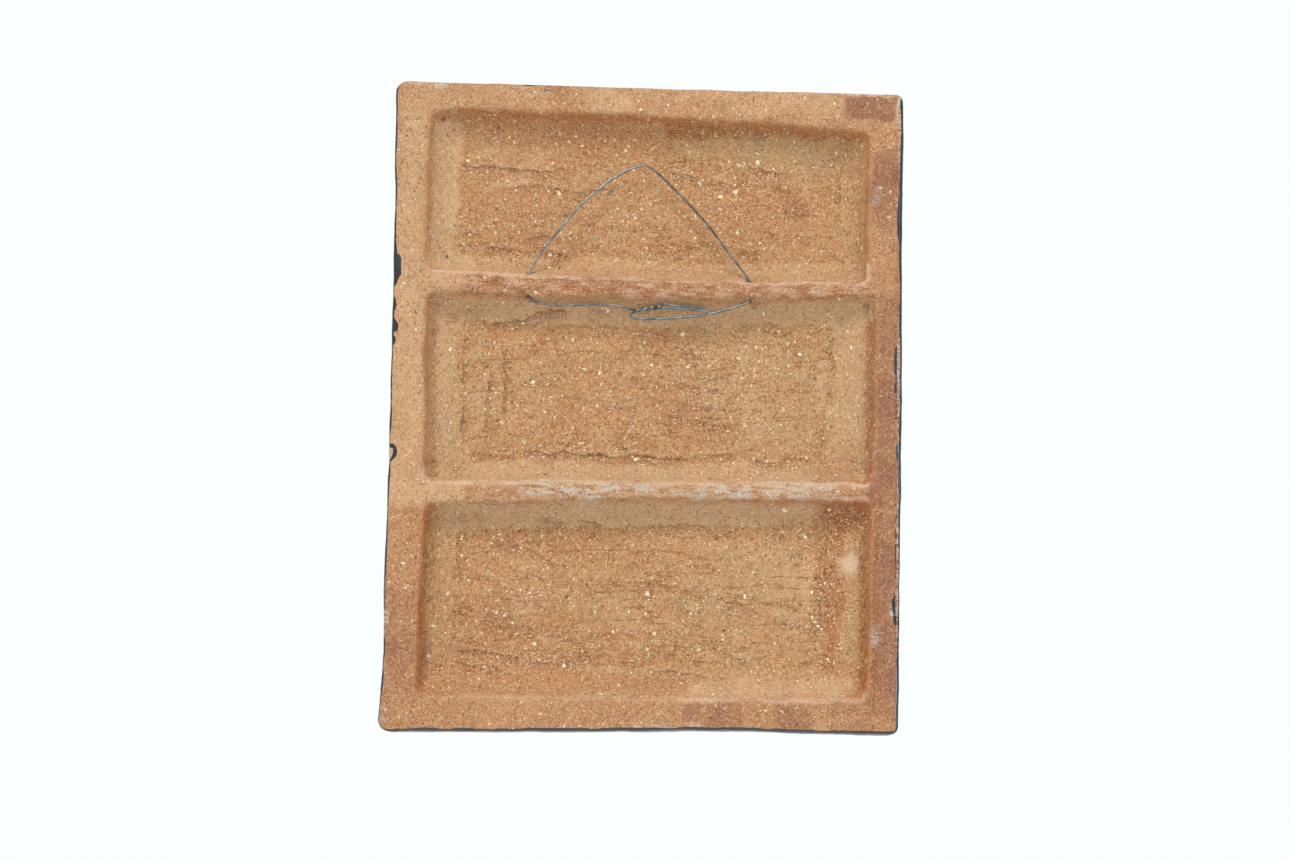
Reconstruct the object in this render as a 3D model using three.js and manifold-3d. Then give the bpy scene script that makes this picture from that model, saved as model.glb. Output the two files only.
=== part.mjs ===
// Decorative wall plaque: a hand-built slab of coarse clay with a hollowed back, hung by a steel wire.
// Millimetres, +Z up. The hollow back faces -Y, towards the wall, and the glazed front faces +Y.
// The origin is the top of the wire's loop, where a nail carries the plaque.

import * as THREE from 'three';
import * as BufferGeometryUtils from 'three/addons/utils/BufferGeometryUtils.js';
import Module from 'manifold-3d';

const wasm = await Module();
wasm.setup();

// Slab, along Y
const backY = -6; // the rim and rib crests, which touch the wall
const slabThickness = 30;
const frontY = backY + slabThickness;
const backArris = 2.5; // rounding of the back's outer edge
const frontArris = 4;
const sideFlare = 1.2; // how far the front stands outside the back on every side

// Trays in the back
const trayDepth = 16;
const trayLip = 1.6; // rounding where a tray's wall meets the rim or a rib
const wallRunAcross = 18; // from the rim to the floor at the left and right walls
const wallRunUp = 14.5; // the same at the top and bottom walls
const steepShare = 0.45; // the outer share of a wall is steep and the rest eases into the floor
const steepDepth = 11.5;

// Front
const borderWidth = 18;
const fieldDepth = 2; // the field inside the border is sunk by this much
const fieldSlope = 5;

// Hanging wire and its holes
const wireDiameter = 1.25;
const holeRadius = 2.1;
const holeY = -1.6; // leaves 2.3 mm of clay under the crest of the upper rib
const holeTop = -62;
const holeBottom = -84;
const leftHoleX = -66.1;
const rightHoleX = 62.3;

// A face outline: its corners clockwise from the top left as [x, z], the radius of each corner,
// and how far each edge bows outwards at its middle, from the top edge clockwise.
const slabOutline = {
  corners: [[-147, 47.4], [151.2, 44.4], [150.4, -330.4], [-147.3, -333.6]],
  radii: [7, 4, 5, 6],
  bows: [-0.5, 0.3, -1, -1.8],
};
const trayOutlines = [
  {
    corners: [[-127.2, 31.5], [132.8, 22], [132.2, -69], [-126.6, -65]],
    radii: [13, 8, 11, 12],
    bows: [2.2, -0.8, 2, 0.3],
  },
  {
    corners: [[-126, -77.4], [133, -75.6], [131.2, -187.2], [-124.4, -190.4]],
    radii: [7, 11, 10, 9],
    bows: [-2.6, 0.4, -0.8, 0.6],
  },
  {
    corners: [[-124, -201.4], [134.4, -195], [130, -311.4], [-127.2, -313.6]],
    radii: [8, 9, 14, 11],
    bows: [0.9, 0.4, 0.2, -0.4],
  },
];

// The wire's route from the end of its eye, round the eye, up through the right hole, over the loop,
// down through the left hole and back to the eye. Its last stretch is wound round the eye's upper leg.
const loopRoute = [
  [39.5, -0.8, -84.8], [34, -1.4, -83.8], [25.5, -1.8, -83.4], [17, -2, -83.5], [11, -2, -84.2],
  [2, -1.6, -85.8], [-3, -1.2, -87], [-5.8, -1, -88], [-6.7, -0.9, -89.4], [-5.6, -0.8, -90.8],
  [-1, -0.8, -91.4], [8, -0.8, -91.3], [20, -0.8, -90.5], [31.1, -0.8, -89.3], [40.4, -1, -87.7],
  [50, -1.6, -85.2], [57.5, -2.4, -82.8], [61.2, -2.7, -80.9], [62.5, -2.4, -78], [62.7, -2.2, -72],
  [62, -2.2, -67.3], [51, -1.6, -52.9], [39.6, -1.2, -37.5], [26.5, -0.8, -22.7], [15.8, -0.4, -12.1],
  [7.4, -0.1, -4], [3, 0, -1.1], [0, 0, 0], [-4.4, 0, -0.9], [-11.4, 0, -3.9], [-21.9, -0.2, -10.9],
  [-34, -0.5, -21.3], [-47.4, -1, -37.2], [-58.5, -1.6, -51.8], [-65.4, -2.2, -64.6], [-66.5, -2.2, -72],
  [-66.3, -2.4, -78], [-64.9, -2.8, -81.3], [-62, -2.8, -82.7], [-56.7, -2.2, -83.9], [-46.5, -1.6, -84.6],
  [-32.8, -1.4, -83.6], [-18.1, -1.7, -83.8], [-10.8, -2.3, -85],
];
const wrap = {
  start: [-4.6, -1.1, -87.3], // middle of the eye's upper leg where the winding begins
  end: [11.6, -2, -84.15],
  turns: 4.5,
  radius: wireDiameter + 0.12,
  pointsPerTurn: 8,
  firstTurn: 0.75, // angle of the first point, in turns from straight up towards the front
};
const wrapTip = [[13.2, -3.1, -82.4], [14.3, -3, -81.6]];

// A closed outline from corners joined by bowed edges and rounded by arcs.
function handShape({ corners, radii, bows }) {
  const points = corners.map(([x, z]) => new THREE.Vector2(x, z));
  const shape = new THREE.Shape();
  for (let i = 0; i < 4; i++) {
    const corner = points[i];
    const next = points[(i + 1) % 4];
    const before = points[(i + 3) % 4];
    const into = corner.clone().sub(before).normalize();
    const onward = next.clone().sub(corner).normalize();
    const arcStart = corner.clone().addScaledVector(into, -radii[i]);
    const arcEnd = corner.clone().addScaledVector(onward, radii[i]);
    if (i === 0) shape.moveTo(arcStart.x, arcStart.y);
    shape.quadraticCurveTo(corner.x, corner.y, arcEnd.x, arcEnd.y);

    const edgeEnd = next.clone().addScaledVector(onward, -radii[(i + 1) % 4]);
    const outward = new THREE.Vector2(-onward.y, onward.x);
    const middle = arcEnd.clone().add(edgeEnd).multiplyScalar(0.5).addScaledVector(outward, 2 * bows[i]);
    shape.quadraticCurveTo(middle.x, middle.y, edgeEnd.x, edgeEnd.y);
  }
  return shape;
}

// Extrudes an outline through rings. A ring is { y, across, up }: its place along Y, and how far it is
// drawn in from the outline at the sides, and at the top and bottom. Rings run from the back to the front.
function ringedSolid(outline, rings, curveSegments) {
  const shape = handShape(outline);
  const settings = { depth: rings.length - 1, steps: rings.length - 1, bevelEnabled: false, curveSegments };
  const geometry = new THREE.ExtrudeGeometry(shape, settings);
  const xs = outline.corners.map((corner) => corner[0]);
  const zs = outline.corners.map((corner) => corner[1]);
  const middleX = (Math.min(...xs) + Math.max(...xs)) / 2;
  const middleZ = (Math.min(...zs) + Math.max(...zs)) / 2;
  const halfWidth = (Math.max(...xs) - Math.min(...xs)) / 2;
  const halfHeight = (Math.max(...zs) - Math.min(...zs)) / 2;
  const position = geometry.attributes.position;
  for (let i = 0; i < position.count; i++) {
    // The extrusion runs along +Z and is laid along -Y, so its far end is the first ring.
    const ring = rings[rings.length - 1 - Math.round(position.getZ(i))];
    const x = middleX + (position.getX(i) - middleX) * (1 - ring.across / halfWidth);
    const z = middleZ + (position.getY(i) - middleZ) * (1 - ring.up / halfHeight);
    position.setXYZ(i, x, ring.y, z);
  }
  return geometry;
}

// Rings that follow a quarter circle: the outline is drawn in by up to radius at distance 0 from the face.
function arrisRings(radius, segments, faceY, towards, outset) {
  const rings = [];
  for (let i = 0; i <= segments; i++) {
    const angle = (i / segments) * Math.PI / 2;
    const inset = radius * (1 - Math.sin(angle)) - outset;
    rings.push({ y: faceY + towards * radius * (1 - Math.cos(angle)), across: inset, up: inset });
  }
  return rings;
}

function slabRings() {
  const back = arrisRings(backArris, 3, backY, 1, 0);
  const front = arrisRings(frontArris, 3, frontY, -1, sideFlare).reverse();
  return [...back, ...front];
}

// A tray's cutting tool starts outside the back, follows the rounded lip, then a wall that eases into the floor.
function trayRings() {
  const clearance = 3;
  const wall = new THREE.Path();
  wall.moveTo(0, trayLip);
  wall.lineTo(steepShare, steepDepth);
  wall.quadraticCurveTo(1.35 * steepShare, 0.97 * trayDepth, 1, trayDepth);
  const wallPoints = wall.curves[0].getPoints(2).concat(wall.curves[1].getPoints(3).slice(1));
  const lip = arrisRings(trayLip, 2, backY, 1, 0).map(({ y, across }) => ({ y, across: -across, up: -across }));
  const outside = { ...lip[0], y: backY - clearance };
  const slope = wallPoints.slice(1).map((point) => ({
    y: backY + point.y,
    across: wallRunAcross * point.x,
    up: wallRunUp * point.x,
  }));
  return [outside, ...lip, ...slope];
}

// The front's sunk field: the slab's outline drawn in by the border, and by its slope at the bottom.
function fieldRings() {
  const clearance = 3;
  const floorY = frontY - fieldDepth;
  const floorInset = borderWidth + fieldSlope;
  const easeInset = borderWidth + fieldSlope / 3;
  return [
    { y: floorY, across: floorInset, up: floorInset },
    { y: floorY + fieldDepth / 4, across: easeInset, up: easeInset },
    { y: frontY, across: borderWidth, up: borderWidth },
    { y: frontY + clearance, across: borderWidth, up: borderWidth },
  ];
}

function toManifold(geometry) {
  geometry.deleteAttribute('normal');
  geometry.deleteAttribute('uv');
  const merged = BufferGeometryUtils.mergeVertices(geometry, 1e-4);
  const vertProperties = new Float32Array(merged.attributes.position.array);
  const triVerts = new Uint32Array(merged.index.array);
  return new wasm.Manifold(new wasm.Mesh({ numProp: 3, vertProperties, triVerts }));
}

function fromManifold(solid) {
  const mesh = solid.getMesh();
  const geometry = new THREE.BufferGeometry();
  geometry.setAttribute('position', new THREE.BufferAttribute(new Float32Array(mesh.vertProperties), 3));
  geometry.setIndex(new THREE.BufferAttribute(new Uint32Array(mesh.triVerts), 1));
  return geometry;
}

// A hole for the wire, straight up through the upper rib.
function wireHole(x) {
  const height = holeTop - holeBottom;
  const hole = new THREE.CylinderGeometry(holeRadius, holeRadius, height, 12);
  hole.rotateX(Math.PI / 2);
  hole.translate(x, holeY, (holeTop + holeBottom) / 2);
  return hole;
}

function makePlaque() {
  let solid = toManifold(ringedSolid(slabOutline, slabRings(), 5));
  for (const outline of trayOutlines) {
    solid = solid.subtract(toManifold(ringedSolid(outline, trayRings(), 6)));
  }
  solid = solid.subtract(toManifold(ringedSolid(slabOutline, fieldRings(), 4)));
  for (const x of [leftHoleX, rightHoleX]) {
    solid = solid.subtract(toManifold(wireHole(x)));
  }
  const clay = new THREE.MeshStandardMaterial({ color: 0xbf8f65, roughness: 0.95, metalness: 0 });
  const plaque = new THREE.Mesh(fromManifold(solid), clay);
  plaque.name = 'plaque';
  return plaque;
}

// A route whose steps are shared equally between its points, so that close points give short steps.
class PointPacedRoute extends THREE.CatmullRomCurve3 {
  getPointAt(share, target) {
    return this.getPoint(share, target);
  }

  getTangentAt(share, target) {
    return this.getTangent(share, target);
  }
}

// Points of the winding: a helix round the line from wrap.start to wrap.end.
function wrapRoute() {
  const start = new THREE.Vector3(...wrap.start);
  const end = new THREE.Vector3(...wrap.end);
  const along = end.clone().sub(start).normalize();
  const front = new THREE.Vector3(0, 1, 0);
  const above = front.clone().cross(along).negate();
  const count = Math.round(wrap.turns * wrap.pointsPerTurn);
  const points = [];
  for (let i = 0; i <= count; i++) {
    const angle = 2 * Math.PI * (wrap.firstTurn + i / wrap.pointsPerTurn);
    const point = start.clone().lerp(end, i / count);
    point.addScaledVector(above, wrap.radius * Math.cos(angle));
    point.addScaledVector(front, wrap.radius * Math.sin(angle));
    points.push(point);
  }
  return points;
}

function makeWire() {
  const points = [...loopRoute, ...wrapTip].map((point) => new THREE.Vector3(...point));
  points.splice(loopRoute.length, 0, ...wrapRoute());
  const route = new PointPacedRoute(points, false, 'centripetal');
  const section = new THREE.Shape().absarc(0, 0, wireDiameter / 2, 0, 2 * Math.PI);
  const settings = { extrudePath: route, steps: 2 * (points.length - 1), curveSegments: 4 };
  const geometry = new THREE.ExtrudeGeometry(section, settings);
  const steel = new THREE.MeshStandardMaterial({ color: 0x84898f, roughness: 0.45, metalness: 0.9 });
  const wire = new THREE.Mesh(geometry, steel);
  wire.name = 'hanging_wire';
  return wire;
}

const part = new THREE.Group();
part.add(makePlaque(), makeWire());

export default part;
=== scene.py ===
import math

import bmesh
import bpy
import numpy as np
from mathutils import Matrix, Vector


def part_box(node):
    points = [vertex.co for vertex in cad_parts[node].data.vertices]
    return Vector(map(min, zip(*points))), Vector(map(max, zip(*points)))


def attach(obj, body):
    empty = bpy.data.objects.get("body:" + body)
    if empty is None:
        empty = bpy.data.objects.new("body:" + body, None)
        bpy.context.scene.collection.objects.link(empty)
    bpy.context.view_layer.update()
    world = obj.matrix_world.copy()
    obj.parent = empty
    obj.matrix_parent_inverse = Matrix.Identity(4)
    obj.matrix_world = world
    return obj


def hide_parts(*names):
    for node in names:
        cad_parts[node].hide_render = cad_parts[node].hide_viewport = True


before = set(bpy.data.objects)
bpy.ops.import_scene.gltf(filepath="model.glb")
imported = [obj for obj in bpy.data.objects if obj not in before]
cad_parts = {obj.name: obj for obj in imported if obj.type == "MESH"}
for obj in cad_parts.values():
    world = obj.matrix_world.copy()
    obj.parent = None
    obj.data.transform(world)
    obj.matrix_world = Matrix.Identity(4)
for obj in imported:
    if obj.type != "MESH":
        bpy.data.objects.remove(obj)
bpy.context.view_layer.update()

# A decorative wall plaque of coarse clay, seen from its hollowed back, with its steel hanging wire.
# Shapes are worked out in millimetres and turned into metres when a mesh is finished.
# x runs to the right along the back, z up, and y from the wall towards the glazed front.

mm = 0.001


def linked(name, data):
    made = bpy.data.objects.new(name, data)
    bpy.context.scene.collection.objects.link(made)
    return made


def meshOf(bm, name):
    mesh = bpy.data.meshes.new(name)
    bm.to_mesh(mesh)
    bm.free()
    return mesh


def mend(mesh, mergeWithin=0):
    # merges doubles where asked, then turns all faces outwards
    bm = bmesh.new()
    bm.from_mesh(mesh)
    if mergeWithin:
        bmesh.ops.remove_doubles(bm, verts=bm.verts, dist=mergeWithin)
    bmesh.ops.recalc_face_normals(bm, faces=bm.faces)
    bm.to_mesh(mesh)
    bm.free()


# Camera

cameraPlan = {
    "place": (6.6, -1654.7, -359.8),  # mm from the top of the wire's loop
    "lookUp": 7.0,                    # degrees
    "roll": 1.0,                      # degrees, the photographed plaque stands a little askew
    "lens": 80.0,                     # mm, on a sensor 36 mm wide
    "sensor": 36.0,
}


def makeCamera(plan):
    data = bpy.data.cameras.new("camera")
    data.lens = plan["lens"]
    data.sensor_width = plan["sensor"]
    made = linked("camera", data)
    turn = Matrix.Rotation(math.radians(-plan["roll"]), 4, "Y")
    lift = Matrix.Rotation(math.radians(90 + plan["lookUp"]), 4, "X")
    made.matrix_world = Matrix.Translation(Vector(plan["place"]) * mm) @ turn @ lift
    bpy.context.scene.camera = made


makeCamera(cameraPlan)
print("camera placed")


# Numbers that vary over a surface

def smooth(low, high, value):
    share = np.clip((value - low) / (high - low), 0, 1)
    return share * share * (3 - 2 * share)


def softNoise(a, b, size, seed):
    # between -1 and 1, with features of about the given size
    table = np.random.default_rng(seed).uniform(-1, 1, (128, 128))
    a, b = np.asarray(a) / size, np.asarray(b) / size
    i, j = np.floor(a).astype(int), np.floor(b).astype(int)
    s, t = a - i, b - j
    s, t = s * s * (3 - 2 * s), t * t * (3 - 2 * t)
    near = table[i % 128, j % 128] * (1 - s) + table[(i + 1) % 128, j % 128] * s
    far = table[i % 128, (j + 1) % 128] * (1 - s) + table[(i + 1) % 128, (j + 1) % 128] * s
    return near * (1 - t) + far * t


def cloud(a, b, size, seed, octaves=3):
    total = 0
    for k in range(octaves):
        total = total + softNoise(a, b, size / 2 ** k, seed + k) / 2 ** k
    return total / 1.5


def ovalFar(x, z, middleX, middleZ, halfX, halfZ):
    # 0 in the middle of an oval and 1 all along it
    return np.hypot((x - middleX) / halfX, (z - middleZ) / halfZ)


def spots(x, z, places):
    total = np.zeros_like(x)
    for *oval, strength in places:
        total = np.maximum(total, strength * smooth(1, 0.45, ovalFar(x, z, *oval)))
    return total


# The plaque

slab = {
    # from the top left, clockwise
    "corners": ((-147, 47.4), (151.6, 44.4), (150.9, -330.5), (-147.3, -333.5)),
    "radii": (7, 4.2, 5, 8),
    "leastRadius": 0.6,
    "bows": (-0.5, 0.3, -1, -1.8),  # how far the top, right, bottom and left edges bulge
    "backY": -6,
    "thickness": 30,
    "backArris": 2.5,
    "frontArris": 4,
    "flare": 1.0,      # the front stands outside the back by this, apart from the bottom
    "bottomFlare": 0.2,
    "wobble": 0.55,    # unevenness of the edges
    "depth": 16,       # of the trays
    "cell": 1.24,      # spacing of the back's mesh
    "fineCell": 0.62,  # spacing of the few cells next to the edge
    "fineCells": 4,
    "coarser": 3,      # cells of the back to one of the front
    "backAngles": (22, 38, 56, 74, 90),  # of the mesh's rings round the back arris, degrees
    "sideAt": (7, 13, 20),               # of those on the side, counted from the back
    "frontAngles": (90, 66, 42, 18),
    "border": 18,      # width of the front's raised border
    "fieldDepth": 2,
    "middle": (2, -143),
    "edgeFrom": (140, 180),  # sideways and up from the middle, where the sides are taken to begin
    "backEnds": 22,    # glazed all over from here on, counted from the back
}
# Places where an edge strays: the middle along it, the half width, and how far x or z moves there
strays = {
    "left": ((-291, 34, 1.7), (-176, 26, 0.5)),
    "right": ((28, 26, 0.5),),
    "bottom": ((62, 50, 0.9), (-60, 50, -0.2)),
    "top": (),
}

# A tray's corners and bulges, then for its top, right, bottom and left sides the width of the steep wall,
# the width of wall and ease together, and the share of the way down at the steep wall's foot.
trays = (
    {
        "corners": ((-127.2, 31.5), (132.8, 22), (132.2, -69), (-126.6, -65)),
        "bows": (2.2, -0.8, 2, 0.3),
        "steep": (9, 4, 6, 3.5),
        "run": (20, 18, 14, 20),
        "knee": (0.5, 0.36, 0.42, 0.22),
        "seed": 11,
    },
    {
        "corners": ((-126, -77.4), (136.2, -75.6), (135.2, -187.2), (-124.4, -190.4)),
        "bows": (-2.6, 0.4, -0.8, 0.6),
        "steep": (8, 3.5, 7, 4.5),
        "run": (15, 23, 15, 20),
        "knee": (0.5, 0.34, 0.42, 0.38),
        "seed": 12,
    },
    {
        "corners": ((-124, -201.4), (134.8, -195), (133, -311.4), (-127.2, -313.6)),
        "bows": (0.9, 0.4, 0.2, -0.4),
        "steep": (8, 3.5, 9, 6),
        "run": (14, 24, 20, 19),
        "knee": (0.45, 0.36, 0.42, 0.5),
        "seed": 13,
    },
)
wallShape = {
    "at": (-0.10, -0.03, 0.05, 0.2, 0.45, 0.6, 0.8, 0.95, 1.06),
    "depth": (0, 0.015, 0.12, 0.38, 0.70, 0.82, 0.92, 0.965, 1.0),  # shares of the tray's depth
}

# Tool marks and torn skin: height, width, and then x and z of each point of the line that they follow.
# The skin stands up on the left of the line's way and is torn off on its right.
tears = (
    (0.7, 4, -112, 2, -77, -2, -39, -2), (0.5, 4, -88, -12, -58, -12, -37, -14, -14, -12),
    (0.6, 2, -112, -2, -110, -6, -101, -5), (1.1, 5, -113, -48, -97, -49, -77, -50, -57, -52, -42, -55),
    (0.6, 4, -77, -43, -48, -42, -21, -42), (0.8, 4, -108, -45, -108, -24), (0.7, 2, -38, -25, -31, -26),
    (0.6, 4, 7, 6, 60, 1, 88, -1), (0.7, 4, 12, -2, 47, -8, 90, -11), (0.6, 3, 116, 3, 117, -36),
    (1.0, 2, 62, -23, 70, -20), (1.2, 2, 60, -52, 70, -53), (0.5, 4, -2, -40, 34, -44, 58, -48),
    (0.4, 4, 69, -39, 110, -40), (1.0, 4, -92, -93, -69, -91, -55, -87, -45, -86, -40, -89),
    (0.5, 3, -35, -86, -14, -87), (0.7, 3, 57, -91, 84, -92), (0.5, 3, -117, -88, -89, -87),
    (0.7, 4, -104, -164, -103, -95), (0.6, 4, -91, -167, -89, -119), (0.8, 4, -79, -170, -80, -108),
    (1.0, 5, -104, -173, -81, -170, -53, -171, -43, -169, -18, -172, 25, -172, 60, -169),
    (0.9, 3, 62, -171, 76, -174, 94, -171, 103, -173), (1.2, 3, -14, -163, -9, -166, -2, -167),
    (0.5, 3, -21, -141, 2, -142), (0.7, 4, 114, -96, 113, -120, 109, -145, 107, -166),
    (0.6, 5, 5, -127, 26, -128, 44, -131, 58, -134, 76, -136),
    (0.9, 3, 15, -146, 29, -149, 45, -152, 56, -153), (1.1, 2, 23, -105, 28, -110, 34, -108),
    (0.8, 2, -122, -96, -118, -104), (1.0, 2, -126, -80, -124, -85),
    (1.2, 2, -125, -181, -121, -184, -114, -183), (1.0, 2, -123, -173, -119, -178, -115, -178),
    (0.5, 4, -105, -280, -105, -248, -104, -216), (0.5, 4, -110, -211, -89, -206),
    (0.7, 3, -61, -209, -42, -210, -32, -209, -17, -212),
    (0.6, 5, -88, -247, -66, -254, -43, -262, -34, -266), (0.6, 6, -12, -244, 8, -257),
    (0.6, 5, -88, -266, -72, -268, -53, -273),
    (1.3, 4, -105, -286, -84, -287, -72, -289, -57, -291, -41, -293, -30, -291),
    (0.8, 4, -120, -295, -104, -294, -84, -296, -62, -300), (0.8, 2, -22, -214, -22, -221, -31, -221),
    (1.2, 2, -123, -205, -121, -211), (0.5, 3, 1, -211, 14, -212, 31, -211),
    (0.6, 6, 2, -250, 18, -252, 36, -264), (0.6, 5, 42, -253, 56, -256, 74, -262, 90, -270),
    (0.6, 4, 67, -243, 81, -244, 88, -252), (0.7, 2, 55, -289, 68, -290),
    (0.6, 5, 2, -294, 34, -298, 55, -298), (1.1, 3, 113, -207, 110, -223, 107, -250, 106, -266),
    (0.7, 3, 108, -209, 104, -253, 102, -276), (1.1, 2, -124, 27, -117, 24),
    (0.5, 6, -70, -222, -40, -238, -22, -252), (0.4, 6, -30, -218, 20, -246, 44, -250),
    (0.4, 6, 30, -222, 62, -238), (0.4, 5, -64, -118, -30, -113, -8, -112),
    (0.4, 5, -40, -30, 10, -36, 50, -34),
)

# Where the clay is crumbly: x, z, half width, half height, strength
rubble = (
    (-112, -50, 12, 10, 1), (-78, -53, 40, 5, 0.8), (0, -50, 110, 9, 0.55), (66, -53, 8, 4, 0.9),
    (-112, -179, 14, 10, 0.9), (-20, -170, 90, 6, 0.8), (-20, -150, 34, 20, 0.4), (100, -174, 28, 9, 0.8),
    (50, -146, 14, 10, 0.6), (28, -107, 10, 6, 0.7), (108, -238, 7, 46, 1), (100, -290, 26, 14, 0.7),
    (-60, -292, 62, 9, 0.8), (-121, -262, 6, 44, 0.8), (-110, -212, 12, 9, 0.6), (20, -211, 80, 6, 0.6),
    (20, -237, 8, 8, 0.9), (85, -220, 12, 10, 0.6), (-116, -86, 10, 8, 0.6), (133, -78, 9, 10, 0.8),
    (134, -198, 10, 12, 0.9), (30, -20, 60, 26, 0.3), (-20, -120, 60, 22, 0.3), (120, -60, 14, 12, 0.6),
    (-121, 24, 10, 7, 0.5), (-30, 4, 16, 16, 0.4),
)

# Single grains and pits that stand out: x, z, half width, height (below 0 for a pit)
marks = (
    (20.9, -239.5, 3.2, 1.3), (17.6, -235.5, 1.9, -1.8), (46, -217.5, 2.4, -1.6), (84, -218.6, 2.4, -1.3),
    (66.1, -234.7, 2.0, -1.6), (68, -252.7, 1.8, -1.3), (84.6, -265.2, 2.4, 1.1),
    (112.2, -258.9, 2.0, 0.9), (-83.8, -134.6, 2.4, 1.0), (39.4, -140.1, 2.0, 0.9),
    (47.6, -141.1, 2.3, 1.0), (55, -151, 2.3, 1.0), (41, -147, 1.8, -1.2), (83.8, -27.4, 2.4, 1.0),
    (63.5, 7.8, 2.0, 0.8), (68.2, 14.5, 1.9, 0.8), (-37, 8, 2.2, 0.9), (-16, -24, 2.0, 0.8),
    (-58, 42, 2.2, -1.3), (-85, 30, 2.1, -1.3), (-119, 26, 2.0, -1.6), (146.9, -260.4, 2, -1.2),
    (137.2, -269.8, 2.4, 0.7), (-118, -184, 2.6, -1.6), (62, -24, 2.2, -1.5), (66, -53, 2.4, -1.8),
    (30, -108, 2.2, -1.2), (7.2, -227, 1.9, 0.9), (58, -50.5, 3.6, -2.0), (63, -52, 3.0, -2.0),
    (-70.5, -79.6, 3.4, -2.4), (65.5, -81.4, 3.6, -2.4), (-67, -80.6, 2.2, -1.2), (-35.7, -265, 2.1, 1.0),
    (-99.8, -232.9, 1.6, -1.0), (76.2, -161.9, 1.9, -1.1), (-9, -167, 2.6, -1.2),
)
crumbs = {
    "count": 1300,
    "seed": 5,
    "x": (-140, 144),
    "z": (-326, 40),
    "small": 0.8,
    "large": 2.0,
    "height": 0.6,
    "pits": 0.3,       # share of them that are pits
}

wireHoles = {"x": (-66.1, 62.3), "y": -1.6, "radius": 2.1, "top": -58, "bottom": -88, "sides": 20}


def bowed(a, b, bow, share):
    return a + (b - a) * share + 4 * bow * share * (1 - share)


def quadEdges(corners, bows, x, z):
    # the top and bottom edges' z at x, and the left and right edges' x at z
    (ax, az), (bx, bz), (cx, cz), (dx, dz) = corners
    top = bowed(az, bz, bows[0], np.clip((x - ax) / (bx - ax), 0, 1))
    right = bowed(bx, cx, bows[1], np.clip((bz - z) / (bz - cz), 0, 1))
    bottom = bowed(dz, cz, -bows[2], np.clip((x - dx) / (cx - dx), 0, 1))
    left = bowed(ax, dx, -bows[3], np.clip((az - z) / (az - dz), 0, 1))
    return top, right, bottom, left


def roundedLeast(a, b, width):
    gap = np.clip(width - np.abs(a - b), 0, None) / width
    return np.minimum(a, b) - gap * gap * width / 4


def trayShare(tray, x, z):
    # 0 at the tray's rim, 1 where its floor begins
    top, right, bottom, left = quadEdges(tray["corners"], tray["bows"], x, z)
    seed = tray["seed"]
    top = top + 1.1 * cloud(x, z * 0, 24, seed)
    bottom = bottom + 1.1 * cloud(x, z * 0, 24, seed + 20)
    left = left + 1.0 * cloud(z, x * 0, 23, seed + 40)
    right = right + 0.8 * cloud(z, x * 0, 19, seed + 60)
    shares = []
    for k, inside in enumerate((top - z, right - x, z - bottom, x - left)):
        steep, run, knee = tray["steep"][k], tray["run"][k], tray["knee"][k]
        run = run + 2.2 * cloud(x, z, 30, seed + 80 + k)
        shares.append(np.where(inside < steep, knee * inside / steep,
                               knee + (1 - knee) * (inside - steep) / (run - steep)))
    upright = roundedLeast(shares[0], shares[2], 0.1)
    sideways = roundedLeast(shares[1], shares[3], 0.1)
    return roundedLeast(upright, sideways, 0.5)


def lineDistance(points, x, z):
    # how far a place lies to the left of a line through the points, and how far along the line, in mm
    best = np.full_like(x, 1e6)
    aside, along = np.zeros_like(x), np.zeros_like(x)
    before = 0
    for (ax, az), (bx, bz) in zip(points, points[1:]):
        length = math.hypot(bx - ax, bz - az)
        ux, uz = (bx - ax) / length, (bz - az) / length
        run = np.clip((x - ax) * ux + (z - az) * uz, 0, length)
        far = np.hypot(x - ax - run * ux, z - az - run * uz)
        side = (x - ax) * -uz + (z - az) * ux
        closer = far < best
        best = np.where(closer, far, best)
        aside = np.where(closer, np.where(side < 0, -far, far), aside)
        along = np.where(closer, before + run, along)
        before += length
    return aside, along, before


# The back's relief is worked out once on an even raster, and read from there wherever a mesh needs it.
raster = {"step": 0.5, "lowX": -156.0, "lowZ": -342.0, "countX": 632, "countZ": 796}


def window(lowX, highX, lowZ, highZ):
    # the raster's rows and columns over a stretch, and the places they stand for
    step = raster["step"]
    i0, i1 = (round((x - raster["lowX"]) / step) for x in (lowX, highX))
    j0, j1 = (round((z - raster["lowZ"]) / step) for z in (lowZ, highZ))
    i = np.arange(max(i0, 0), min(i1 + 1, raster["countX"]))
    j = np.arange(max(j0, 0), min(j1 + 1, raster["countZ"]))
    return np.ix_(j, i), *np.meshgrid(raster["lowX"] + i * step, raster["lowZ"] + j * step)


def addLumps(relief, lumps):
    for cx, cz, radius, height in lumps:
        here, x, z = window(cx - radius, cx + radius, cz - radius, cz + radius)
        far = np.hypot(x - cx, z - cz) / radius
        relief[here] -= height * np.clip(1 - far ** 2, 0, 1) ** 0.8


tearShape = {
    "share": 0.6,      # of the height in the list that is given to the relief
    "wander": 2.2,
    "fray": 0.8,
    "ends": 6,         # a tear fades over this length, mm
    "groove": 0.7,
    "reach": 3.5,      # times its width
    "span": 9,         # distances up to this are noted for painting, mm
}


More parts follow.
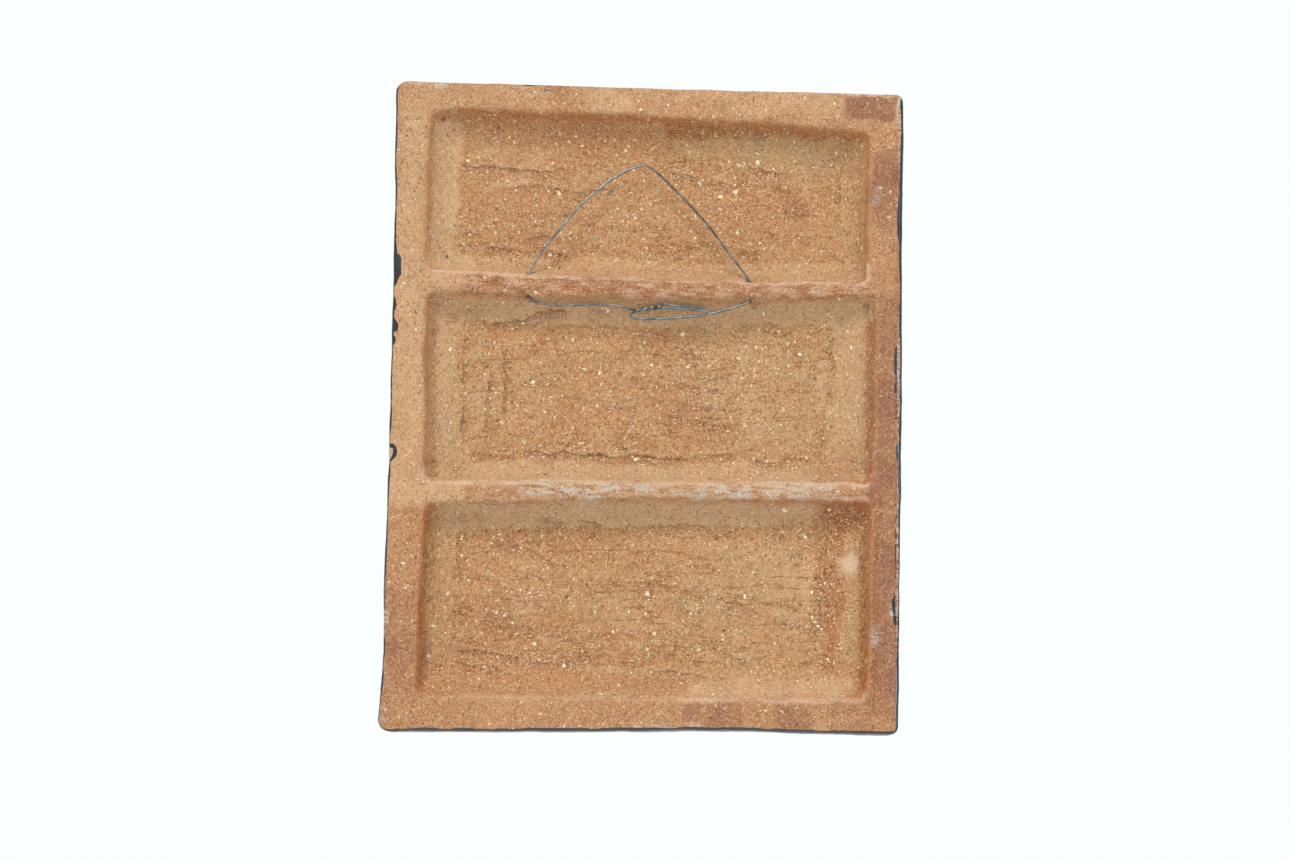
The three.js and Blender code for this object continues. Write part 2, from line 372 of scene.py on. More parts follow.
def addTears(relief, tearFar, tearHeight):
    # raises torn skin beside each line, and notes the nearest line's distance and height
    pull = np.zeros_like(relief)
    for number, (height, width, *line) in enumerate(tears):
        points = list(zip(line[::2], line[1::2]))
        lowX, lowZ = np.min(points, 0) - tearShape["reach"] * width
        highX, highZ = np.max(points, 0) + tearShape["reach"] * width
        here, x, z = window(lowX, highX, lowZ, highZ)
        aside, along, length = lineDistance(points, x, z)
        aside = aside - tearShape["wander"] * cloud(x, z, 12, 300 + number)
        aside = aside - tearShape["fray"] * softNoise(x, z, 3.2, 500 + number)
        ends = smooth(0, tearShape["ends"], along) * smooth(length, length - tearShape["ends"], along)
        broken = 0.7 + 0.75 * cloud(along, x * 0, 13, 400 + number)
        strength = height * ends * np.clip(broken, 0.12, 1.3)
        skin = np.exp(-np.clip(aside, 0, None) / width) * smooth(0, 0.5, aside)
        groove = np.exp(np.clip(aside, None, 0) / (0.9 * width)) * smooth(0.2, -0.5, aside)
        relief[here] -= tearShape["share"] * strength * (skin - tearShape["groove"] * groove)
        pullHere = strength * np.exp(-np.abs(aside) / 2)
        stronger = pullHere > pull[here]
        pull[here] = np.where(stronger, pullHere, pull[here])
        tearFar[here] = np.where(stronger, aside, tearFar[here])
        tearHeight[here] = np.where(stronger, strength, tearHeight[here])


def crumbList(plan, crumbly):
    random = np.random.default_rng(plan["seed"])
    tries = 12 * plan["count"]
    x, z = random.uniform(*plan["x"], tries), random.uniform(*plan["z"], tries)
    wanted = 0.1 + 0.9 * readRaster(crumbly, x, z)
    radius = plan["small"] + (plan["large"] - plan["small"]) * random.random(tries) ** 2.2
    way = np.where(random.random(tries) < plan["pits"], -0.8, 1)
    height = plan["height"] * radius * random.uniform(0.5, 1, tries) * way
    chosen = np.flatnonzero(random.random(tries) < wanted)[:plan["count"]]
    return list(zip(x[chosen], z[chosen], radius[chosen], height[chosen]))


def readRaster(values, x, z):
    i = np.clip((x - raster["lowX"]) / raster["step"], 0, raster["countX"] - 1.001)
    j = np.clip((z - raster["lowZ"]) / raster["step"], 0, raster["countZ"] - 1.001)
    i0, j0 = i.astype(int), j.astype(int)
    s, t = i - i0, j - j0
    near = values[j0, i0] * (1 - s) + values[j0, i0 + 1] * s
    far = values[j0 + 1, i0] * (1 - s) + values[j0 + 1, i0 + 1] * s
    return near * (1 - t) + far * t


def blurred(values, reach):
    # the mean over a square of the given half width, in mm, taken twice
    cells = max(round(reach / raster["step"]), 1)
    for _ in range(2):
        for axis in (0, 1):
            padded = np.concatenate([np.repeat(values.take([0], axis), cells + 1, axis), values,
                                     np.repeat(values.take([-1], axis), cells, axis)], axis)
            total = padded.cumsum(axis)
            count = values.shape[axis]
            values = (total.take(range(2 * cells + 1, 2 * cells + 1 + count), axis)
                      - total.take(range(0, count), axis)) / (2 * cells + 1)
    return values


# Heights of the unevenness left by hand, mm; what crumbly places add stands second
handWork = {
    "rough": (0.36, 0.5),
    "fine": (0.24, 0.35),
    "swell": 0.7,
    "drag": 0.6,
    "upperCalm": 0.25,     # the upper tray was smoothed more
    "wallRough": 0.8,
    "rimSwell": 0.30,
    "rimFine": 0.14,
    "rimGrain": 0.16,
    "rimCrumbly": 0.6,
    "rimSunk": 0.24,
    "burr": 0.25,
    "ease": 0.9,           # softens the trays' lips and corners
}


def backRelief():
    # how far the surface lies inside the back plane, with what else the painting needs of the raster
    x, z = np.meshgrid(raster["lowX"] + raster["step"] * np.arange(raster["countX"]),
                       raster["lowZ"] + raster["step"] * np.arange(raster["countZ"]))
    share = np.full_like(x, -9.0)
    for tray in trays:
        share = np.maximum(share, trayShare(tray, x, z))
    depth = slab["depth"] * np.interp(share, wallShape["at"], wallShape["depth"])
    depth = blurred(depth, handWork["ease"])
    floor = smooth(0.9, 1.08, share)
    inside = smooth(0.05, 0.3, share)
    rim = 1 - smooth(-0.1, 0.05, share)
    crumbly = spots(x + 5 * cloud(x, z, 16, 81), z + 5 * cloud(x, z, 16, 86), rubble)
    crumbly = crumbly * (0.55 + 0.6 * cloud(x, z, 9, 88)).clip(0, 1) + 0.12 * floor

    coarse, fine = (handWork[name][0] + handWork[name][1] * crumbly for name in ("rough", "fine"))
    rough = coarse * cloud(x, z, 7, 50) + fine * softNoise(x, z, 2.3, 55)
    swell = handWork["swell"] * cloud(x, z, 36, 60)
    upper, lower = smooth(-75, -70, z), smooth(-190, -198, z)
    middle = 1 - upper - lower
    drag = (0.6 * upper * cloud(x / 7, z, 5, 71) + middle * cloud(x / 2.2, z / 1.4, 4, 72)
            + lower * cloud((x + 1.2 * z) / 6, (x - z) / 1.4, 4, 73))
    onFloor = (0.9 - handWork["upperCalm"] * upper) * rough + handWork["drag"] * drag + swell
    onWall = inside * (handWork["wallRough"] * rough + 0.7 * swell)
    relief = floor * onFloor + (1 - floor) * onWall
    grain = np.where(np.abs(x) > 133, cloud(x, z / 6, 3, 75), cloud(x / 6, z, 3, 76))
    hand = (handWork["rimSwell"] * cloud(x, z, 26, 65) + handWork["rimFine"] * softNoise(x, z, 2.7, 56)
            + handWork["rimGrain"] * grain + handWork["rimCrumbly"] * crumbly * rough)
    relief = relief + rim * (hand + handWork["rimSunk"])
    burr = handWork["burr"] * (0.5 + softNoise(x, z, 9, 67)).clip(0, 1)
    relief = depth + relief - burr * np.exp(-((share + 0.05) / 0.04) ** 2)

    tearFar, tearHeight = np.full_like(x, tearShape["span"]), np.zeros_like(x)
    addTears(relief, tearFar, tearHeight)
    addLumps(relief, crumbList(crumbs, crumbly))
    addLumps(relief, marks)
    return relief, {"share": share, "crumbly": crumbly, "tearFar": tearFar, "tearHeight": tearHeight}


def squareToRound(ax, az):
    reach, far = np.maximum(ax, az), np.hypot(ax, az)
    return np.where(far > 0, reach / np.where(far > 0, far, 1), 1)


def strayed(side, edge, at):
    for middle, halfWidth, by in strays[side]:
        edge = edge + by * np.exp(-((at - middle) / halfWidth) ** 2 * 2)
    return edge


def slabEdges(x, z):
    top, right, bottom, left = quadEdges(slab["corners"], slab["bows"], x, z)
    wobble = slab["wobble"]
    top, bottom = strayed("top", top, x), strayed("bottom", bottom, x)
    right, left = strayed("right", right, z), strayed("left", left, z)
    return (top + wobble * cloud(x, x * 0, 34, 21), right + wobble * cloud(z, x * 0, 38, 22),
            bottom + wobble * cloud(x, x * 0, 30, 23), left + wobble * cloud(z, x * 0, 36, 24))


def insideEdges(x, z):
    # how far a place lies inside the top, right, bottom and left edges
    top, right, bottom, left = slabEdges(x, z)
    return top - z, right - x, z - bottom, x - left


def slabPlace(u, v, inset):
    # a place on the slab seen from behind; u and v run from 0 to 1 over the outline drawn in by inset
    corners, radii = slab["corners"], slab["radii"]
    (ax, az), (cx, cz), (dx, dz) = corners[0], corners[2], corners[3]
    top, right, bottom, left = slabEdges(dx + (cx - dx) * u, dz + (az - dz) * v)
    bottomInset = np.where(inset < 0, inset * slab["bottomFlare"], inset)
    top, right, bottom, left = top - inset, right - inset, bottom + bottomInset, left + inset
    x = left + (right - left) * u
    z = bottom + (top - bottom) * v
    sides = ((left, top, 1, -1), (right, top, -1, -1), (right, bottom, -1, 1), (left, bottom, 1, 1))
    for (edgeX, edgeZ, wayX, wayZ), radius in zip(sides, radii):
        bend = np.maximum(radius - inset, slab["leastRadius"])
        middleX, middleZ = edgeX + wayX * bend, edgeZ + wayZ * bend
        outX, outZ = (middleX - x) * wayX, (middleZ - z) * wayZ
        beyond = (outX > 0) & (outZ > 0)
        factor = np.where(beyond, squareToRound(outX, outZ), 1)
        x = middleX + (x - middleX) * factor
        z = middleZ + (z - middleZ) * factor
    return x, z


def edgeSpacing(share, length):
    # even spacing, apart from a few finer cells along both edges
    even = slab["fineCells"] / round(length / slab["cell"])
    fine = slab["fineCells"] * slab["fineCell"] / length
    return np.interp(share, (0, even, 1 - even, 1), (0, fine, 1 - fine, 1))


def arcPlace(radius, angle):
    # how far in and how far on a rounded arris has come at an angle
    turn = math.radians(angle)
    return radius * (1 - math.sin(turn)), radius * (1 - math.cos(turn))


def sideRings():
    # (inset, y from the back) of each ring of the edge, from the back's arris to the front's
    rings = [arcPlace(slab["backArris"], angle) for angle in slab["backAngles"][1:]]
    last = slab["thickness"] - slab["frontArris"]
    rings += [(-slab["flare"] * y / last, y) for y in slab["sideAt"]]
    for angle in slab["frontAngles"]:
        inset, before = arcPlace(slab["frontArris"], angle)
        rings.append((inset - slab["flare"], slab["thickness"] - before))
    return rings


def plaqueTopology(countX, countZ, ringCount):
    # the back as a grid, its edge extruded ring by ring, and a coarser grid bridged on as the front;
    # the rings lie a little apart until they get their places
    apart = 0.002
    bm = bmesh.new()
    keep = {name: bm.verts.layers.float.new(name) for name in ("u", "v", "ring")}
    bmesh.ops.create_grid(bm, x_segments=countX, y_segments=countZ, size=1)
    for vert in bm.verts:
        vert[keep["u"]], vert[keep["v"]] = (vert.co.x + 1) / 2, (vert.co.y + 1) / 2
    edge = [e for e in bm.edges if e.is_boundary]
    for ring in range(1, ringCount + 1):
        made = bmesh.ops.extrude_edge_only(bm, edges=edge)["geom"]
        edge = [e for e in made if isinstance(e, bmesh.types.BMEdge)]
        for vert in (e for e in made if isinstance(e, bmesh.types.BMVert)):
            vert.co.z += apart
            vert[keep["ring"]] = ring
    countX, countZ = countX // slab["coarser"], countZ // slab["coarser"]
    front = bmesh.ops.create_grid(bm, x_segments=countX, y_segments=countZ, size=1)["verts"]
    for vert in front:
        vert[keep["u"]], vert[keep["v"]] = (vert.co.x + 1) / 2, (vert.co.y + 1) / 2
        vert[keep["ring"]] = ringCount + 1
        vert.co.z = apart * (ringCount + 1)
    frontEdge = [e for e in bm.edges if e.is_boundary and e.verts[0][keep["ring"]] > ringCount]
    bmesh.ops.bridge_loops(bm, edges=edge + frontEdge)
    bmesh.ops.recalc_face_normals(bm, faces=bm.faces)
    return meshOf(bm, "plaqueBody")


def readFloats(mesh, name):
    values = np.empty(len(mesh.vertices), np.float32)
    mesh.attributes[name].data.foreach_get("value", values)
    return values.astype(float)


def frontRelief(x, z):
    # the front is a plain raised border round a slightly sunk field, pressed flat by hand
    inside = np.min(insideEdges(x, z), 0)
    sunk = smooth(slab["border"] - 1, slab["border"] + 5, inside + 0.8 * cloud(x, z, 40, 91))
    hand = 0.5 * cloud(x, z, 38, 92) + 0.18 * cloud(x, z, 13, 93)
    return slab["fieldDepth"] * sunk + (0.35 + hand) * smooth(3, 9, inside)


def buildPlaque():
    (lowX, _, lowZ), (highX, _, highZ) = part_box("plaque")
    width, height = (highX - lowX) / mm, (highZ - lowZ) / mm
    coarser = slab["coarser"]
    counts = [coarser * round(size / slab["cell"] / coarser) for size in (width, height)]
    rings = sideRings()
    mesh = plaqueTopology(*counts, len(rings))
    u, v, ring = (readFloats(mesh, name) for name in ("u", "v", "ring"))
    startInset, _ = arcPlace(slab["backArris"], slab["backAngles"][0])
    insets = np.array([startInset] + [inset for inset, _ in rings] + [slab["frontArris"] - slab["flare"]])
    depths = np.array([0] + [y for _, y in rings] + [slab["thickness"]])
    number = np.rint(ring).astype(int)
    x, z = slabPlace(edgeSpacing(u, width), edgeSpacing(v, height), insets[number])
    y = depths[number].astype(float)
    back, front = number == 0, number == len(rings) + 1

    relief = readRaster(backField, x[back], z[back])
    inside = np.min(insideEdges(x[back], z[back]), 0)
    arris = slab["backArris"]
    lean = np.clip(arris - np.clip(inside, 0.12, None), 0, None)
    y[back] = relief * smooth(0, 2, inside) + arris - np.sqrt(arris ** 2 - lean ** 2)
    y[front] = slab["thickness"] - frontRelief(x[front], z[front])

    side = ~back & ~front
    around = x[side] + 1.3 * z[side]
    push = 0.22 * cloud(around, y[side] * 1.5, 14, 95) + 0.12 * cloud(around, y[side], 4, 96)
    for at, middle, outer in zip((x, z), slab["middle"], slab["edgeFrom"]):
        off = at[side] - middle
        at[side] += push * np.sign(off) * (np.abs(off) > outer)

    y += slab["backY"]
    places = np.stack((x, y, z), 1) * mm
    mesh.vertices.foreach_set("co", places.astype(np.float32).ravel())
    for name in ("u", "v", "ring"):
        mesh.attributes.remove(mesh.attributes[name])
    mend(mesh)
    return linked("plaqueBody", mesh)


def drillHoles(piece):
    bm = bmesh.new()
    middle = (wireHoles["top"] + wireHoles["bottom"]) / 2
    radius, depth = wireHoles["radius"] * mm, (wireHoles["top"] - wireHoles["bottom"]) * mm
    for x in wireHoles["x"]:
        made = bmesh.ops.create_cone(bm, cap_ends=True, segments=wireHoles["sides"], radius1=radius,
                                     radius2=radius, depth=depth)["verts"]
        bmesh.ops.translate(bm, verts=made, vec=Vector((x, wireHoles["y"], middle)) * mm)
    cutterMesh = meshOf(bm, "cutter")
    cutter = linked("cutter", cutterMesh)
    cut = piece.modifiers.new("cut", "BOOLEAN")
    cut.object, cut.operation, cut.solver = cutter, "DIFFERENCE", "EXACT"
    seen = piece.evaluated_get(bpy.context.evaluated_depsgraph_get())
    mesh = bpy.data.meshes.new_from_object(seen)
    piece.modifiers.clear()
    old = piece.data
    piece.data = mesh
    bpy.data.meshes.remove(old)
    bpy.data.objects.remove(cutter)
    bpy.data.meshes.remove(cutterMesh)
    mesh.name = "plaqueBody"


backField, backGuide = backRelief()
print("relief worked out")
plaqueBody = buildPlaque()
drillHoles(plaqueBody)
for polygon in plaqueBody.data.polygons:
    polygon.use_smooth = True
print("plaque modelled:", len(plaqueBody.data.polygons), "faces")


# Where the clay is flushed, stained, worn or glazed

# Patches on the trays' floors: x, z, half width, half height, strength
floorTints = {
    "red": (
        (-72, -24, 46, 30, 0.35), (60, -30, 66, 22, 0.5), (-60, -48, 60, 8, 0.5), (70, -8, 40, 10, 0.45),
        (-88, -221, 15, 9, 1.0), (-54.9, -103.2, 10, 6, 1.0), (-25.5, -103, 12, 5, 0.7),
        (10, -104, 8, 12, 0.6), (30, -150, 34, 8, 0.5), (-50, -160, 30, 10, 0.35),
        (-80, -268, 50, 22, 0.6), (-50, -222, 46, 16, 0.45), (0, -292, 110, 10, 0.45),
        (20, -236, 40, 20, 0.25), (106, -240, 9, 44, 1.0), (-40, 2, 18, 10, 0.6), (60, -56, 60, 6, 0.3),
        (-25, 9, 13, 9, 0.9), (92, -21, 12, 8, 1.0), (23, -48, 13, 6, 1.0), (-72, -53, 26, 5, 0.9),
        (-32, -32, 8, 10, 0.6), (-18, -275, 38, 5, 0.8), (6, -296, 28, 5, 1.0), (-107, -282, 8, 13, 0.8),
        (-76, -227, 13, 8, 1.0),
    ),
    "orange": (
        (111, -240, 5, 44, 0.8), (114, -218, 5, 14, 0.7), (-95, -284, 20, 4, 0.4), (-75, -54, 24, 4, 0.6),
        (14, -52, 18, 4, 0.6), (-104.5, -131, 1.0, 38, 0.9), (-90.8, -145, 0.9, 25, 0.8),
        (-80.3, -138, 1.0, 32, 0.9), (-53, -160, 0.8, 10, 0.7), (-36, -160, 1.6, 9, 0.8),
    ),
    "mauve": (
        (90, -22, 12, 8, 0.8), (23, -48, 11, 5, 0.6), (-10, -11, 18, 4, 0.4), (-76, -227, 12, 7, 0.6),
        (6, -296, 26, 4, 0.5), (-25, 9, 11, 7, 0.3), (-55, -55, 14, 3, 0.5),
    ),
    "olive": (
        (86, 0, 40, 14, 0.6), (-84, 2, 34, 22, 0.4), (62, -124, 54, 44, 0.6), (86, -150, 40, 26, 0.6),
        (60, -246, 56, 34, 0.6), (-10, -262, 40, 20, 0.4), (-94, -130, 12, 34, 0.4),
        (-66, -140, 30, 18, 0.2), (10, -60, 90, 5, 0.4), (70, -274, 50, 16, 0.5),
    ),
    "pale": (
        (49.3, 11.2, 7, 5, 0.6), (86, -246, 20, 30, 0.35), (-100, -140, 16, 40, 0.4),
        (-73, -6, 15, 10, 0.8), (106, -128, 6, 30, 0.8), (67, -147, 9, 20, 0.6), (100, -243, 6, 26, 0.9),
        (-63, -259, 13, 7, 0.8), (52, -285, 24, 7, 0.5),
    ),
}
# Patches on the walls: left, right, bottom, top, strength, softness of the edges
wallTints = {
    "mauve": (
        # The patch from x 0 to 66, under the wire's lower arc, is partly a painted shadow of the wire and
        # partly the wall's own darker crumbs.
        (110, 118, -218, -206, 0.6, 4), (108, 124, -2, 12, 0.5, 5), (0, 66, -94, -84, 0.5, 5),
        (110, 124, -106, -90, 0.5, 5), (116, 130, -180, -160, 0.5, 5),
    ),
    "olive": (
        (20, 134, -6, 26, 0.75, 14), (60, 134, -64, 0, 0.35, 10), (-128, 138, -104, -70, 0.9, 3),
        (-128, -100, -192, -76, 0.9, 3), (104, 134, -192, -76, 1.0, 2), (-128, 134, -192, -168, 0.85, 3),
        (-128, 122, -216, -196, 0.9, 3), (-128, -100, -290, -200, 0.5, 6),
        (-20, 120, -316, -290, 0.45, 14), (112, 132, -300, -214, 0.55, 5),
    ),
    # The pale patches on the first tray's left wall, the second tray's top wall and the third tray's top
    # wall by its lip are painted light: they lighten walls that lie in shade.
    "pale": (
        (-128, -110, -64, 26, 1.2, 3), (-100, 134, -72, -54, 0.45, 6), (-100, 100, -190, -174, 0.5, 5),
        (-127, -112, -186, -80, 0.5, 4), (-120, 136, -98, -78, 0.8, 5), (-110, 100, -216, -198, 1.0, 5),
        (110, 134, -186, -84, 0.3, 5), (116.5, 127.5, -239, -227, 1.0, 4), (-122, -98, -72, -54, 1.0, 4),
        (30, 126, -312, -300, 0.8, 3),
    ),
    "red": (
        (-60, -20, 4, 34, 0.8, 8), (-100, 20, 8, 34, 0.35, 10), (-130, -40, -316, -284, 0.6, 8),
        (-128, -118, -316, -196, 0.4, 3), (110, 123, -242, -202, 1.0, 4), (106, 118, -300, -236, 1.0, 4),
        (104, 130, -306, -290, 0.8, 5), (-118, -96, -300, -252, 0.5, 8), (-100, 134, -307, -300, 0.7, 3),
        (104, 126, -188, -168, 0.9, 6), (104, 130, -214, -196, 0.6, 6),
    ),
    "orange": (
        (131.5, 139, -190, -92, 0.85, 2), (129.3, 137, -312, -196, 1.0, 1.5),
        (106, 136, -212, -190, 1.0, 4), (-128, -116, -88, -74, 0.9, 3), (-112, 10, 26, 37, 0.6, 4),
        (10, 134, 18, 32, 0.9, 3), (-110, -40, -214, -200, 0.4, 5), (-129, -121, -316, -206, 1.0, 2),
        (110, 119, -262, -206, 0.7, 3), (107, 115, -296, -255, 0.7, 3), (-126, -120, -188, -84, 0.3, 2),
    ),
}
# Patches on the rim and the ribs, in the same way
crestTints = {
    "red": (
        (-103.5, 128, -80, -67.5, 0.7, 1.2), (-101.5, -70, -202, -190.5, 0.75, 1.2),
        (-70, 72, -202, -197, 0.6, 1.5), (108, 150, -210, -187, 0.9, 3), (-54, -24, 24, 45, 0.8, 9),
        (-150, 150, -334, -310, 0.5, 5), (-150, -126, -334, -196, 0.5, 12), (70, 150, 20, 34, 0.3, 6),
        (126, 152, -334, 24, 0.5, 3), (20, 110, 24, 30, 0.4, 3), (-133, -122, -314, -204, 0.9, 3),
    ),
    "mauve": (
        (117.2, 147.4, 28.4, 42.2, 1.4, 0.8), (-100, 128, -79, -68, 0.35, 2), (-34, 0, -80, -66, 0.6, 6),
        (50, 100, -80, -68, 0.4, 6), (130, 154, -200, -76, 1.1, 6), (130, 154, -36, 10, 0.95, 6),
        (130, 154, -310, -204, 1.1, 8), (148, 154, -330, 20, 0.7, 2), (-146, -138, -300, -262, 0.7, 5),
        (-146, -126, -316, -250, 0.6, 10), (-142, -136, -290, -280, 0.9, 3),
        (-150, -143.5, -20, 46, 0.5, 3), (-150, -138, -334, -278, 0.5, 5), (29, 39, -326, -315, 0.8, 3),
        (132, 148, -27, -11, 0.7, 4), (40, 62, -330, -312, 0.7, 5), (80, 102, -328, -312, 0.7, 5),
        (132, 143, -25, -14, 1.3, 3), (112, 150, -322, -306, 0.6, 5), (-62, -44, 38, 48, 0.5, 4),
        (110, 140, -334, -324, 0.6, 4), (-148, -144, -334, -190, 0.4, 2),
    ),
    "pale": (
        (-38, -10, 31, 43, 0.8, 9), (54, 117, 29, 43, 0.5, 7), (72, 112, -200, -188, 0.45, 2),
        (-150, -126, -190, 30, 0.45, 12), (-142, -126, -190, -76, 0.6, 4), (-150, -104, -80, -62, 0.5, 5),
        (-150, -104, -202, -188, 0.8, 6), (20, 110, 38, 46, 0.5, 4), (-100, 134, -191, -186, 0.4, 2),
    ),
    "orange": (
        (104, 139, -205, -195, 0.7, 2), (64, 110, -203, -199, 0.6, 1.5), (134, 139, -320, -200, 0.5, 1.5),
    ),
    "scuff": (
        (-72, -6, -199, -190, 0.9, 7), (-10, 42, -197, -190, 0.85, 6), (44, 114, -200, -189, 0.75, 5),
        (53, 68, -197, -189, 1.0, 3), (-140, -118, 43.5, 48, 0.8, 1.5), (0, 40, -331, -326, 0.6, 2),
        (134.5, 139.5, -280, -268, 0.7, 1.5), (149.2, 151.4, -290, -90, 0.75, 0.7),
        (149.2, 151.4, 0, 44, 0.5, 0.7), (147.6, 150.2, 27, 42, 1.0, 0.8),
        (114, 142, 42.2, 45.5, 1.0, 1.2), (-149, -142, -330, -318, 0.8, 2), (-60, -56, 40, 44, 0.7, 1),
        (145, 149, -264, -256, 1.0, 1), (135, 140, -22, -10, 0.4, 2),
        (-149, -143.3, -280, -264, 1.0, 0.6), (-147, -142.8, -176, -170.5, 1.0, 0.5),
    ),
}
# Glaze that ran over the arris onto the back: x, z, half width, half height
glazeRuns = (
    (-145.6, -65, 4.9, 10), (-146, -54, 2.6, 12), (-145.6, -86, 3.0, 4.6), (-145.6, -98.5, 3.9, 4.6),
    (-145.6, -107, 2.8, 4), (-144.6, -172.6, 4.4, 4.8), (-68, 46.6, 6, 1.3), (140, -331, 14, 1.6),
    (150.6, -122, 3.0, 30), (150.6, -163, 2.2, 10), (150, -258, 2.8, 12), (150.6, -30, 2.2, 26),
    (150.9, -226, 2.6, 28), (122, -331.4, 26, 1.8),
)
# Where it flaked off again
glazeChips = (
    (-145.2, -173.2, 2.4, 3.2), (-145.6, -271.5, 2.6, 8), (149.6, -128, 0.9, 36), (149.8, -240, 0.9, 36),
)
glazeEdge = {
    "left": 1.0,
    "right": 1.7,
    "bottom": 1.7,
    "topStart": 3.4,   # how far from the back it begins on the top side
    "topBand": 3,
    "band": 4,         # apart from runs, none lies further in than this
    "uneven": 0.6,
    "runDepth": 6,
    "chipDepth": 2.5,
}


def blocks(x, z, shake, places):
    # the softer a patch's edges, the further they wander
    total = np.zeros_like(x)
    for low, high, bottom, top, strength, soft in places:
        wander = 0.3 + 0.45 * soft
        across, up = x + wander * shake[0], z + wander * shake[1]
        value = (smooth(-soft / 2, soft / 2, np.minimum(across - low, high - across))
                 * smooth(-soft / 2, soft / 2, np.minimum(up - bottom, top - up)))
        total = np.maximum(total, strength * value)
    return total


# Smooth pale marks: x, z, half length, half width, slant in degrees, strength
paleMarks = ((123.6, -231.5, 5.6, 4.6, 80, 0.95), (129.2, -226.4, 3.6, 0.8, 42, 0.6))

# Lips of trays with a thin pale or rusty line: left, right, bottom, top, strength, softness. The pale
# line, along the upper edges of the ribs and the bottom rim, is a painted highlight.
lipLines = {
    "lip": (
        (-124, 134, -74, -58, 1.0, 3), (-128, 134, -196, -180, 1.0, 3), (24, 132, -318, -300, 0.7, 3),
        (-100, 24, -322, -306, 0.25, 3),
    ),
    "seam": (
        (-112, 138, -88, -72, 0.4, 3), (60, 138, -212, -190, 0.9, 4), (-134, -112, -316, -204, 1.0, 3),
        (-132, -114, -190, -80, 0.5, 3), (122, 140, -320, -196, 1.0, 3), (124, 142, -190, -92, 0.9, 3),
        (122, 140, -64, 20, 0.9, 3), (-110, 138, 16, 38, 0.5, 3), (-132, -116, -64, 28, 0.4, 3),
    ),
}
ribCrests = ((-100, 132, -86, -60, 1.0, 10), (-100, 132, -206, -184, 0.6, 10))


def setFloats(mesh, name, values):
    layer = mesh.attributes.new(name, "FLOAT", "POINT")
    layer.data.foreach_set("value", np.clip(values, 0, 1).astype(np.float32))


def glazeShare(x, y, z):
    # 1 where glaze covers the clay, 0 where it is bare; y is counted from the back
    top, right, bottom, left = insideEdges(x, z)
    uneven = glazeEdge["uneven"] * cloud(x + z, y * 0, 11, 140)
    upper = y - glazeEdge["topStart"]
    strip = np.max((glazeEdge["left"] - left, glazeEdge["right"] - right, glazeEdge["bottom"] - bottom,
                    upper), 0)
    strip = np.where(top < glazeEdge["topBand"], upper, strip)
    inBand = np.min((left, right, top, bottom), 0) < glazeEdge["band"]
    glaze = smooth(-0.3, 0.3, strip + uneven) * inBand
    for oval in glazeRuns:
        far = ovalFar(x, z, *oval) + 0.3 * cloud(x, z, 5, 150)
        glaze = np.maximum(glaze, smooth(1.08, 0.92, far) * (y < glazeEdge["runDepth"]))
    for oval in glazeChips:
        far = ovalFar(x, z, *oval) + 0.5 * cloud(x, z, 3, 155)
        glaze = glaze * (1 - smooth(1.1, 0.9, far) * (y < glazeEdge["chipDepth"]))
    return glaze


